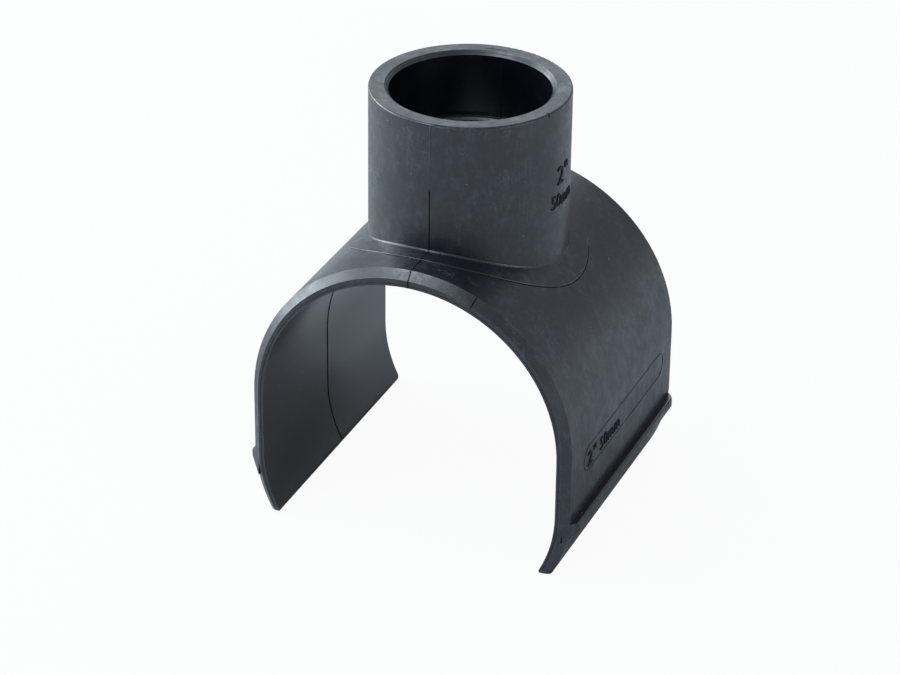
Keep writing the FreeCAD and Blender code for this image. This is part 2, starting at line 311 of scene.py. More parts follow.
def even_outline(places: np.ndarray, facing: np.ndarray, step: float) -> tuple[np.ndarray, np.ndarray]:
    """Points at an even spacing along a flat outline, and the direction that it faces at each.

    Both are interpolated over the distance along the outline, and directions are brought to length 1.

    Args:
        places: points of the outline, two numbers to a row.
        facing: the direction at each.
        step: spacing.

    Returns:
        The evenly spaced points and their directions.
    """
    reach = distance_along(places)
    along = np.linspace(0.0, reach[-1], int(reach[-1] / step))
    spots, ways = (np.stack([np.interp(along, reach, values[:, axis]) for axis in (0, 1)], axis=1)
                   for values in (places, facing))
    return spots, ways / np.linalg.norm(ways, axis=1, keepdims=True)


def circle_points(radius: np.ndarray | float, level: np.ndarray | float,
                  turn: np.ndarray | float) -> np.ndarray:
    """Points at these radii, heights and angles about the branch's axis."""
    return np.stack(np.broadcast_arrays(radius * np.cos(turn), radius * np.sin(turn), level), axis=1)


def new_material(name: str) -> tuple[bpy.types.Material, "NodeWriter", bpy.types.Node]:
    """A new material, the writer of its nodes, and its Principled BSDF."""
    material = bpy.data.materials.new(name)
    material.use_nodes = True
    return material, NodeWriter(material.node_tree), material.node_tree.nodes["Principled BSDF"]


Feed = bpy.types.NodeSocket | float | tuple


class NodeWriter:
    """Adds nodes to a material, a group or the world, and links them by socket name."""

    def __init__(self, tree: bpy.types.NodeTree) -> None:
        """Keeps the tree that the nodes go into."""
        self.tree = tree

    def add(self, kind: str, inputs: dict | None = None, **settings) -> bpy.types.Node:
        """Adds a node.

        Args:
            kind: the node's type name.
            inputs: socket name or number to a value, or to a socket that feeds it.
            settings: the node's own properties.

        Returns:
            The new node.
        """
        node = self.tree.nodes.new(kind)
        for name, value in settings.items():
            setattr(node, name, value)
        self.feed(node, inputs or {})
        return node

    def feed(self, node: bpy.types.Node, inputs: dict) -> None:
        """Gives each named input of a node its value, or links the socket that feeds it."""
        for name, value in inputs.items():
            if isinstance(value, bpy.types.NodeSocket):
                self.tree.links.new(value, node.inputs[name])
            else:
                node.inputs[name].default_value = value

    def math(self, operation: str, first: Feed, second: Feed = 0.0,
             clamp: bool = False) -> bpy.types.NodeSocket:
        """Result of a calculation on two numbers or sockets."""
        node = self.add("ShaderNodeMath", {0: first, 1: second}, operation=operation, use_clamp=clamp)
        return node.outputs[0]

    def ramp(self, value: Feed, low: float, high: float, start: Feed = 0.0,
             end: Feed = 1.0) -> bpy.types.NodeSocket:
        """Value carried smoothly from low..high to start..end, and held beyond."""
        node = self.add("ShaderNodeMapRange",
                        {"Value": value, "From Min": low, "From Max": high, "To Min": start, "To Max": end},
                        interpolation_type="SMOOTHSTEP")
        return node.outputs["Result"]

    def total(self, start: Feed, shares: tuple, layers: dict, clamp: bool = False) -> Feed:
        """Start value plus each named layer times its share."""
        value = start
        for name, share in shares:
            value = self.math("ADD", value, self.math("MULTIPLY", layers[name], share), clamp=clamp)
        return value

    def blend(self, share: Feed, first: Feed, second: Feed) -> bpy.types.NodeSocket:
        """Colour mixed from the first to the second by the share."""
        return self.add("ShaderNodeMix", {0: share, 6: first, 7: second}, data_type="RGBA").outputs[2]


@dataclass(frozen=True)
class Grain:
    """A noise over the part's surface.

    Its cells are one over `scale` metres wide. `stretch` and `turn` scale and turn the coordinates
    first. With `shown`, values up to its first number become 0 and values from its second become 1.
    """

    scale: float
    detail: float
    roughness: float = 0.55
    stretch: tuple | None = None
    turn: float = 0.0
    shown: tuple | None = None


class Effect:
    """A shader effect that is built once as a node group, with named inputs and outputs."""

    name = "effect"
    inputs: dict[str, float] = {}
    outputs: tuple[str, ...] = ()

    def __init__(self) -> None:
        """Builds the group with its sockets."""
        self.group = bpy.data.node_groups.new(self.name, "ShaderNodeTree")
        self.group.interface.new_socket("Vector", in_out="INPUT", socket_type="NodeSocketVector")
        for title, value in self.inputs.items():
            socket = self.group.interface.new_socket(title, in_out="INPUT", socket_type="NodeSocketFloat")
            socket.default_value = value
        for title in self.outputs:
            self.group.interface.new_socket(title, in_out="OUTPUT", socket_type="NodeSocketFloat")
        self.write = NodeWriter(self.group)
        self.source = self.write.add("NodeGroupInput").outputs
        self.sink = self.write.add("NodeGroupOutput").inputs
        self.fill()

    def fill(self) -> None:
        """Adds the effect's own nodes."""
        raise NotImplementedError

    def give(self, title: str, socket: bpy.types.NodeSocket) -> None:
        """Sends a socket to one of the group's outputs."""
        self.group.links.new(socket, self.sink[title])

    def noise(self, grain: Grain) -> bpy.types.NodeSocket:
        """Adds a grain over the incoming coordinates, between 0 and 1."""
        vector = self.source["Vector"]
        if grain.stretch:
            vector = self.write.add("ShaderNodeMapping", {
                "Vector": vector, "Rotation": (grain.turn, grain.turn / 2, grain.turn),
                "Scale": grain.stretch}).outputs["Vector"]
        value = self.write.add("ShaderNodeTexNoise", {
            "Vector": vector, "Scale": grain.scale, "Detail": grain.detail,
            "Roughness": grain.roughness}).outputs["Fac"]
        return self.write.ramp(value, *grain.shown) if grain.shown else value


class Mottle(Effect):
    """Uneven gloss and tone of moulded plastic: cloudy patches, and drag streaks up the socket."""

    name = "mottle"
    grains = {
        "Cloud": Grain(72.0, 7.0, 0.70, shown=(0.36, 0.66)),
        "Patch": Grain(380.0, 7.0, 0.80, stretch=(1.0, 1.0, 0.6), shown=(0.40, 0.64)),
        "Streak": Grain(560.0, 3.0, 0.60, stretch=(1.0, 1.0, 0.03), shown=(0.38, 0.72)),
        "Hair": Grain(1500.0, 1.0, stretch=(1.0, 1.0, 0.03), shown=(0.68, 0.76)),
        "Pores": Grain(2400.0, 2.0),
    }
    outputs = tuple(grains)

    def fill(self) -> None:
        """Gives each grain by its name."""
        for title, grain in self.grains.items():
            self.give(title, self.noise(grain))


class Scuffs(Effect):
    """Fine scratches in three directions, and rubbed smudges, both broken up into patches."""

    name = "scuffs"
    inputs = {"Amount": 0.5}
    outputs = ("Scuff", "Smudge")
    scratches = (
        Grain(1500.0, 2.0, stretch=(1.0, 0.05, 1.0), turn=0.3, shown=(0.60, 0.72)),
        Grain(1500.0, 2.0, stretch=(0.06, 1.0, 1.0), turn=1.2, shown=(0.60, 0.72)),
        Grain(1500.0, 2.0, stretch=(1.0, 1.0, 0.05), turn=2.4, shown=(0.60, 0.72)),
    )
    rubs = Grain(340.0, 8.0, 0.85, stretch=(1.0, 1.0, 0.4), turn=0.7, shown=(0.47, 0.66))
    patches = Grain(60.0, 4.0, 0.65, shown=(0.44, 0.60))

    def fill(self) -> None:
        """Keeps the crests of the scratches and of the rubs where the coarse patches are high."""
        patches = self.noise(self.patches)
        lines = self.noise(self.scratches[0])
        for grain in self.scratches[1:]:
            lines = self.write.math("MAXIMUM", lines, self.noise(grain))
        shown = self.write.math("MULTIPLY", lines, patches)
        self.give("Scuff", self.write.math("MULTIPLY", shown, self.source["Amount"], clamp=True))
        self.give("Smudge", self.write.math("MULTIPLY", self.noise(self.rubs), patches))


class Dust(Effect):
    """Scattered pale specks: a small disc in a few of the cells of a pattern, `density` to a metre."""

    name = "dust"
    inputs = {"Share": 0.03, "Radius": 0.11}
    outputs = ("Speck",)
    density = 560.0

    def fill(self) -> None:
        """Picks cells by their random colour and keeps what lies near their centres."""
        cells = self.write.add("ShaderNodeTexVoronoi",
                               {"Vector": self.source["Vector"], "Scale": self.density})
        split = self.write.add("ShaderNodeSeparateColor", {"Color": cells.outputs["Color"]})
        picked = self.write.math("LESS_THAN", split.outputs["Red"], self.source["Share"])
        size = self.write.math("MULTIPLY", split.outputs["Green"], self.source["Radius"])
        near = self.write.math("LESS_THAN", cells.outputs["Distance"], size)
        self.give("Speck", self.write.math("MULTIPLY", picked, near))


class EdgeWearAndHighlight(Effect):
    """Rubbed edges, partly real wear and partly painted highlight: how far the normal turns within a small
    radius, broken up by noise.
    """

    name = "edge_wear_and_highlight"
    inputs = {"Amount": 1.0}
    outputs = ("Wear",)
    radius = 0.45 * MM
    samples = 6
    sharp = (0.995, 0.90)
    breaks = Grain(300.0, 4.0)
    left_by_breaks = (0.38, 0.6, 0.15, 1.0)

    def fill(self) -> None:
        """Compares the normal softened over the radius with the surface's own.

        Their product is 1 on a flat face, and the pale edge, part wear and part painted highlight, starts
        and is full at the two values of `sharp`.
        """
        soft = self.write.add("ShaderNodeBevel", {"Radius": self.radius}, samples=self.samples)
        own = self.write.add("ShaderNodeNewGeometry")
        dot = self.write.add("ShaderNodeVectorMath", {0: soft.outputs["Normal"], 1: own.outputs["Normal"]},
                             operation="DOT_PRODUCT")
        edge = self.write.ramp(dot.outputs["Value"], *self.sharp)
        broken = self.write.ramp(self.noise(self.breaks), *self.left_by_breaks)
        worn_and_highlighted = self.write.math("MULTIPLY", edge, broken)
        self.give("Wear", self.write.math("MULTIPLY", worn_and_highlighted, self.source["Amount"], clamp=True))


@dataclass(frozen=True)
class MouldedPlastic:
    """Satin charcoal plastic: cloudy tone, drag streaks, scuffs, rubbed edges that are partly painted
    highlight, and specks of dust.

    Where the core shaped it, in the seat and the bore, it is smooth and evenly glossy, and its tone
    is the darkest, which is painted shade. Each pair in the shares is a layer of the finish and how
    much of it counts. A zone is where a mask starts to show and where it shows in full.
    """

    name: str = "moulded_charcoal"
    dark: tuple = (0.0010, 0.0018, 0.0045, 1.0)
    light: tuple = (0.0130, 0.0200, 0.0340, 1.0)
    # Pale colour of rubs and scuffs, and of the edges, where it is partly painted highlight.
    rubbed_and_highlight: tuple = (0.066, 0.078, 0.096, 1.0)
    dust: tuple = (0.34, 0.35, 0.37, 1.0)
    streak_tone: float = 0.20
    rub_and_highlight_shares: tuple = (("hair", 0.25), ("smudge", 0.60), ("scuff", 0.5), ("wear", 1.0))
    gloss_low: float = 0.24
    gloss_high: float = 0.42
    core_gloss: float = 0.27
    dull_shares: tuple = (("streak", 0.07), ("smudge", 0.12), ("scuff", 0.15), ("speck", 0.4))
    relief_shares: tuple = (("patch", 0.45), ("streak", 0.45), ("smudge", 0.30), ("pores", 0.12),
                            ("scuff", -0.5))
    relief_strength: float = 0.40
    relief_depth: float = 0.04 * MM
    shine: float = 0.85
    scuffing: float = 0.9
    edge_wear_and_highlight: float = 0.85
    sheltered_wear_and_highlight: float = 0.12
    dust_share: float = 0.05
    streaks_off_socket: float = 0.25
    outside_zone: tuple = (-8.0 * MM, -2.0 * MM)
    socket_zone: tuple = (60.0 * MM, 64.0 * MM)
    rim_zone: tuple = (100.0 * MM, 106.0 * MM)
    rib_zone: tuple = (-16.0 * MM, -22.0 * MM)
    end_zone: tuple = (48.0 * MM, 50.0 * MM)

    def layers(self, write: NodeWriter, effects: dict[str, Effect]) -> dict[str, bpy.types.NodeSocket]:
        """Adds the layers of the finish, each a mask between 0 and 1.

        A face is outside where the direction that it faces, times its place, isn't negative: faces
        of the seat and the bore look back to the middle of the part. Handling marks and the tone's
        clouds and patches only show outside, so the seat and the bore take the darkest tone as painted
        shade. Streaks show mostly on the socket, and edge wear, partly painted highlight, mostly at
        the rim, the ribs and both ends.

        Args:
            write: adds the nodes.
            effects: the shader effects by name.

        Returns:
            The layers by name.
        """
        coordinates = write.add("ShaderNodeTexCoord").outputs
        place = coordinates["Object"]
        axes = write.add("ShaderNodeSeparateXYZ", {"Vector": place}).outputs

        def effect(name: str, **values) -> bpy.types.NodeOutputs:
            """Places one of the shared effects with its own values."""
            return write.add("ShaderNodeGroup", {"Vector": place, **values},
                             node_tree=effects[name].group).outputs

        facing = write.add("ShaderNodeVectorMath", {0: place, 1: coordinates["Normal"]},
                           operation="DOT_PRODUCT").outputs["Value"]
        outside = write.ramp(facing, *self.outside_zone)
        upright = write.ramp(axes["Z"], *self.socket_zone, self.streaks_off_socket, 1.0)
        upright = write.math("MULTIPLY", upright, outside)

        # How much the edges pale, most at the rim, the ribs and both ends: part wear, part painted
        # highlight.
        worn_and_highlighted = write.math("MAXIMUM", write.ramp(axes["Z"], *self.rim_zone),
                          write.ramp(axes["Z"], *self.rib_zone))
        ends = write.ramp(write.math("ABSOLUTE", axes["Y"]), *self.end_zone)
        worn_and_highlighted = write.ramp(write.math("MAXIMUM", worn_and_highlighted, ends), 0.0, 1.0, self.sheltered_wear_and_highlight, self.edge_wear_and_highlight)

        mottle, scuffs = effect("mottle"), effect("scuffs", Amount=self.scuffing)
        # Clouds and patches are zero in the seat and the bore, which leaves them the darkest tone: painted
        # shade.
        masked = {
            "cloud": (mottle["Cloud"], outside), "patch": (mottle["Patch"], outside),
            "streak": (mottle["Streak"], upright), "hair": (mottle["Hair"], upright),
            "smudge": (scuffs["Smudge"], outside), "scuff": (scuffs["Scuff"], outside),
        }
        made = {name: write.math("MULTIPLY", layer, mask) for name, (layer, mask) in masked.items()}
        made["outside"], made["pores"] = outside, mottle["Pores"]
        made["wear"] = effect("edge_wear_and_highlight", Amount=worn_and_highlighted)["Wear"]
        made["speck"] = effect("dust", Share=self.dust_share)["Speck"]
        return made

    def tint(self, write: NodeWriter, layers: dict[str, bpy.types.NodeSocket]) -> bpy.types.NodeSocket:
        """Base colour: the mottled tone, darkest in the seat and the bore as painted shade, paler where it
        is rubbed and on edges as partly painted highlight, with dust on top.
        """
        # In the seat and the bore this tone is zero: painted shade.
        tone = write.math("MULTIPLY", layers["cloud"], layers["patch"])
        tone = write.total(tone, (("streak", self.streak_tone),), layers)
        colour = write.blend(tone, self.dark, self.light)
        # Rubs and scuffs are real; the edge layer is partly painted highlight.
        for name, share in self.rub_and_highlight_shares:
            colour = write.blend(write.math("MULTIPLY", layers[name], share), colour, self.rubbed_and_highlight)
        return write.blend(layers["speck"], colour, self.dust)

    def dullness(self, write: NodeWriter, layers: dict[str, bpy.types.NodeSocket]) -> bpy.types.NodeSocket:
        """Roughness: glossier in the patches, even where the core was, and duller on every mark."""
        matt = write.math("MULTIPLY", write.math("ADD", layers["patch"], layers["cloud"]), 0.5)
        rough = write.ramp(matt, 0.0, 1.0, self.gloss_high, self.gloss_low)
        rough = write.ramp(layers["outside"], 0.0, 1.0, self.core_gloss, rough)
        return write.total(rough, self.dull_shares, layers, clamp=True)

    def build(self, effects: dict[str, Effect]) -> bpy.types.Material:
        """Makes the material from the shader effects, which come by name."""
        material, write, shader = new_material(self.name)
        layers = self.layers(write, effects)
        bump = write.add("ShaderNodeBump", {
            "Strength": self.relief_strength, "Distance": self.relief_depth,
            "Height": write.total(0.0, self.relief_shares, layers)})
        write.feed(shader, {
            "Base Color": self.tint(write, layers), "Roughness": self.dullness(write, layers),
            "Normal": bump.outputs["Normal"], "Specular IOR Level": self.shine})
        return material


@dataclass(frozen=True)
class MarkPlastic:
    """The same plastic where the mould was etched: duller and less shiny, in a tone of its own. Its
    near-black copy is painted shade along the dark fine lines.
    """

    name: str = "etched_charcoal"
    dark: tuple = (0.006, 0.007, 0.009, 1.0)
    light: tuple = (0.013, 0.015, 0.018, 1.0)
    roughness_low: float = 0.55
    roughness_high: float = 0.75
    pore_zone: tuple = (0.3, 0.7)
    relief_strength: float = 0.4
    relief_depth: float = 0.05 * MM
    shine: float = 0.40

    def build(self, effects: dict[str, Effect]) -> bpy.types.Material:
        """Makes the material from the shader effects, which come by name."""
        material, write, shader = new_material(self.name)
        place = write.add("ShaderNodeTexCoord").outputs["Object"]
        mottle = write.add("ShaderNodeGroup", {"Vector": place}, node_tree=effects["mottle"].group).outputs
        bump = write.add("ShaderNodeBump", {
            "Strength": self.relief_strength, "Distance": self.relief_depth, "Height": mottle["Pores"]})
        write.feed(shader, {
            "Base Color": write.blend(mottle["Patch"], self.dark, self.light),
            "Roughness": write.ramp(mottle["Pores"], *self.pore_zone, self.roughness_low,
                                    self.roughness_high),
            "Normal": bump.outputs["Normal"], "Specular IOR Level": self.shine})
        return material


@dataclass
class MouldLines:
    """Fine lines and marks that the mould's halves and core left on the part. The near-black ones are
    painted shade where their grooves and steps fall into shade.

    Rooms are half the length over which a line turns at an edge or a foot, and gaps are how far a
    line keeps from the feature where it ends.
    """

    form: SaddleForm
    seam: Ridge = Ridge(width=0.42 * MM, height=0.10 * MM)
    split: Ridge = Ridge(width=0.80 * MM, height=0.20 * MM)
    bead: Ridge = Ridge(width=0.34 * MM, height=0.14 * MM)
    witness: Ridge = Ridge(width=0.42 * MM, height=0.12 * MM)
    flash: Ridge = Ridge(width=0.30 * MM, height=0.08 * MM)
    step: float = 0.4 * MM
    edge_room: float = 0.1 * MM
    foot_room: float = 0.02 * MM
    seam_change: float = 84.0 * MM
    split_place: float = 1.0 * MM
    split_gap: float = 0.3 * MM
    witness_across: float = 23.0 * MM
    witness_gap: float = 1.2 * MM
    flash_inset: float = 0.9 * MM
    flash_gap: float = 0.4 * MM
    pad_line_offset: float = 0.12 * MM
    pad_line_angles: tuple = (-62.0, 24.0)
    nick_angle: float = -18.4
    nick_reach: float = 1.3 * MM
    crease_angles: tuple = (88.0, 104.0)
    crease_inset: float = 1.7 * MM
    ring_place: float = 0.55

    def half_profile(self) -> tuple[np.ndarray, np.ndarray]:
        """The outside of the part in the plane of the parting line, from the rim to the seat.

        The line goes down the socket's wall, round the base fillet's quarter circle, along the pad,
        round its edge, along the crown, down the bevel and down the end face.

        Returns:
            Distance along the pipe and height of each point, and the outward direction there.
        """
        form, room, foot = self.form, self.edge_room, self.foot_room
        wall, pad, end, bevel = form.socket, form.pad, form.half_length, form.end_chamfer
        crown, top = form.crown_rise + form.arch, form.crown_rise + form.pad_top
        turn = np.linspace(0.0, math.pi / 2, 12)
        cos, sin = np.cos(turn), np.sin(turn)
        profile = np.concatenate([
            [(wall, form.rim_height - form.rim_round, 1.0, 0.0)],
            np.stack([wall + form.base_fillet * (1 - cos), top + form.base_fillet * (1 - sin),
                      cos, sin], axis=1),
            np.stack([pad - form.pad_round * (1 - sin), top - form.pad_round * (1 - cos),
                      sin, cos], axis=1),
            [(pad, crown + foot, 1.0, 0.0),
             (pad + foot, crown, 0.0, 1.0),
             (end - bevel - room, crown, 0.0, 1.0),
             (end - bevel + room, crown - room, SLANT, SLANT),
             (end - room, crown - bevel + room, SLANT, SLANT),
             (end, crown - bevel - room, 1.0, 0.0),
             (end, form.seat, 1.0, 0.0)],
        ])
        return profile[:, :2], profile[:, 2:]

    def parting_line(self, end: End, upper: bool) -> bpy.types.Object:
        """The parting line over one end, in the plane between the two legs.

        Args:
            end: which end of the part.
            upper: True for the plain stretch below the rim, False for the rest, down to the seat, which is
                drawn near-black as painted shade.

        Returns:
            The new piece.
        """
        path, normals = (np.insert(rows * (end.value, 1.0), 0, 0.0, axis=1)
                         for rows in even_outline(*self.half_profile(), self.step))
        kept = (path[:, 2] > self.seam_change) == upper
        name = "_".join(["parting_line", end.name.lower(), "upper" if upper else "lower"])
        return self.seam.along(name, path[kept], normals[kept], loop=False)

    def seat_section(self) -> tuple[np.ndarray, np.ndarray]:
        """The seat's cross-section from one lip over the crown to the other.

        A half circle about the pipe's axis, straight legs of leg_drop, and arcs of radius hook_in
        that curve in down to the lips' rounding.

        Returns:
            Points across and up, and the direction into the pipe's room at each.
        """
        form = self.form
        low = form.lip_depth - form.lip_round
        reach = math.asin((low - form.leg_drop) / (form.hook_in + form.lip_round))
        turn = np.linspace(reach, 0.0, 30)
        hook = np.stack([form.seat - form.hook_in * (1 - np.cos(turn)),
                         -form.leg_drop - form.hook_in * np.sin(turn),
                         -np.cos(turn), np.sin(turn)], axis=1)
        turn = np.linspace(0.0, math.pi / 2, 50)
        arc = np.stack([form.seat * np.cos(turn), form.seat * np.sin(turn),
                        -np.cos(turn), -np.sin(turn)], axis=1)
        right = np.concatenate([hook, arc])
        whole = np.concatenate([right, right[-2::-1] * (-1.0, 1.0, -1.0, 1.0)])
        return whole[:, :2], whole[:, 2:]

    def core_split(self, side: int) -> bpy.types.Object:
        """The line across one half of the seat where the core's two parts met, up to the waterway.

        Args:
            side: 1 for the half at positive X, -1 for the other.

        Returns:
            The new piece.
        """
        places, inward = self.seat_section()
        across = places[:, 0] * side
        kept = (across > self.form.waterway + self.split_gap) | ((places[:, 1] < 0) & (across > 0))
        places, inward = even_outline(places[kept], inward[kept], self.step)
        return self.split.along("core_split_" + ("right" if side > 0 else "left"),
                                np.insert(places, 1, self.split_place, axis=1),
                                np.insert(inward, 1, 0.0, axis=1), loop=False)

    def base_bead(self) -> bpy.types.Object:
        """The fine line round the socket where its base fillet ends on the pad.

        A ball of the fillet's radius rolls round between socket and pad. Its centre stays that
        radius outside both faces, and the line is where it touches the pad.
        """
        form = self.form
        around = np.linspace(0.0, 2 * math.pi, 480, endpoint=False)
        out, ball = form.socket + form.base_fillet, form.pad_top + form.base_fillet
        x, y = out * np.cos(around), out * np.sin(around)
        rise = np.sqrt(ball ** 2 - x ** 2)
        share = form.pad_top / ball
        path = np.stack([x * share, y, form.crown_rise + rise * share], axis=1)
        normals = np.stack([x, np.zeros_like(x), rise], axis=1) / ball
        return self.bead.along("base_bead", path, normals, loop=True)

    def end_witness(self) -> bpy.types.Object:
        """The short line across the front bevel and end face where a mould insert ended."""
        form, room, bevel = self.form, self.edge_room, self.form.end_chamfer
        lean = math.asin(self.witness_across / (form.arch - bevel))
        out, ahead, up, forward = np.array([
            (form.arch - room / 2, form.half_length - bevel + room / 2, SLANT, SLANT),
            (form.arch - bevel + room, form.half_length - room, SLANT, SLANT),
            (form.arch - bevel - room, form.half_length, 0.0, 1.0),
            (form.seat + self.witness_gap, form.half_length, 0.0, 1.0),
        ]).T
        path = np.stack([math.sin(lean) * out, -ahead, form.crown_rise + math.cos(lean) * out], axis=1)
        normals = np.stack([math.sin(lean) * up, -forward, math.cos(lean) * up], axis=1)
        return self.witness.along("end_witness", path, normals, loop=False)

    def bore_line(self) -> bpy.types.Object:
        """The parting line up the rear of the bore, from the stop to the mouth bevel."""
        form = self.form
        path = even_path(np.array([(0.0, form.bore, form.rim_height - form.socket_depth),
                                   (0.0, form.bore, form.rim_height - form.mouth_chamfer)]), self.step)
        normals = np.tile([0.0, -1.0, 0.0], (len(path), 1))
        return self.witness.along("bore_line", path, normals, loop=False)

    def end_flash(self, end: End) -> bpy.types.Object:
        """The thin line along an end face, just outside the seat's edge, where the core met the mould.

        The seat's cross-section, moved outwards by flash_inset.

        Args:
            end: which end of the part.

        Returns:
            The new piece.
        """
        form = self.form
        places, inward = self.seat_section()
        kept = places[:, 1] > form.lip_corner + self.flash_gap - form.lip_depth
        moved = places[kept] - inward[kept] * self.flash_inset
        path = even_path(np.insert(moved, 1, end.value * form.half_length, axis=1), self.step)
        normals = np.tile([0.0, float(end.value), 0.0], (len(path), 1))
        return self.flash.along("end_flash_" + end.name.lower(), path, normals, loop=False)

    def pad_line(self) -> bpy.types.Object:
        """A near-black line, painted shade, in the corner at the foot of the pad, round its right side.

        An arc about the branch's axis, laid on the arch: its height at a place across is
        crown_rise plus the root of the arch's radius squared less that place squared.
        """
        form = self.form
        around = np.radians(np.linspace(*self.pad_line_angles, 160))
        x, y, _ = circle_points(form.pad + self.pad_line_offset, 0.0, around).T
        rise = np.sqrt(form.arch ** 2 - x ** 2)
        normals = np.stack([x, np.zeros_like(x), rise], axis=1) / form.arch
        return self.flash.along("pad_line", np.stack([x, y, form.crown_rise + rise], axis=1), normals,
                                loop=False)

    def rim_nick(self) -> bpy.types.Object:
        """The small nick across the rim's outer edge."""
        form, turn, cut = self.form, math.radians(self.nick_angle), 0.3 * self.form.rim_round
        out, level, ahead, up = np.array([
            (form.socket - self.nick_reach, form.rim_height, 0.0, 1.0),
            (form.socket - form.rim_round, form.rim_height, 0.0, 1.0),
            (form.socket - cut, form.rim_height - cut, SLANT, SLANT),
            (form.socket, form.rim_height - form.rim_round, 1.0, 0.0),
            (form.socket, form.rim_height - self.nick_reach, 1.0, 0.0),
        ]).T
        return self.witness.along("rim_nick", circle_points(out, level, turn),
                                  circle_points(ahead, up, turn), loop=False)

    def rim_crease(self) -> bpy.types.Object:
        """The short crease on top of the rim at the rear, a part of a circle about the branch's axis."""
        form = self.form
        turn = np.radians(np.linspace(*self.crease_angles, 40))
        path = circle_points(form.bore + form.mouth_chamfer + self.crease_inset, form.rim_height, turn)
        return self.flash.along("rim_crease", path, circle_points(0.0, 1.0, turn), loop=False)

    def mouth_ring(self) -> bpy.types.Object:
        """The fine turned line about half way down the mouth's bevel."""
        form = self.form
        around = np.linspace(0.0, 2 * math.pi, 360, endpoint=False)
        path = circle_points(form.bore + form.mouth_chamfer * self.ring_place,
                             form.rim_height - form.mouth_chamfer * (1 - self.ring_place), around)
        return self.flash.along("mouth_ring", path, circle_points(-SLANT, SLANT, around), loop=True)

    def build(self) -> list[tuple[bpy.types.Object, Finish]]:
        """Makes every mould line, each with its finish."""
        made = [(self.parting_line(end, upper=True), Finish.PLAIN) for end in End]
        # The lower parting lines and the core splits are near-black: painted shade.
        made += [(self.parting_line(end, upper=False), Finish.PAINTED_SHADE) for end in End]
        made += [(self.core_split(side), Finish.PAINTED_SHADE) for side in (1, -1)]
        made += [(self.end_flash(end), Finish.ETCHED) for end in End]
        made += [(self.base_bead(), Finish.PLAIN), (self.mouth_ring(), Finish.PLAIN)]
        # The witness, bore line, pad line, nick and crease are near-black too: painted shade.
        painted_shade = [self.end_witness(), self.bore_line(), self.pad_line(), self.rim_nick(), self.rim_crease()]
        return made + [(piece, Finish.PAINTED_SHADE) for piece in painted_shade]


@dataclass(frozen=True)
class Mark:
    """A size mark: height of its figures, where it starts and ends along the surface, its base line."""

    name: str
    words: str
    cap: float
    start: float
    end: float
    base: float


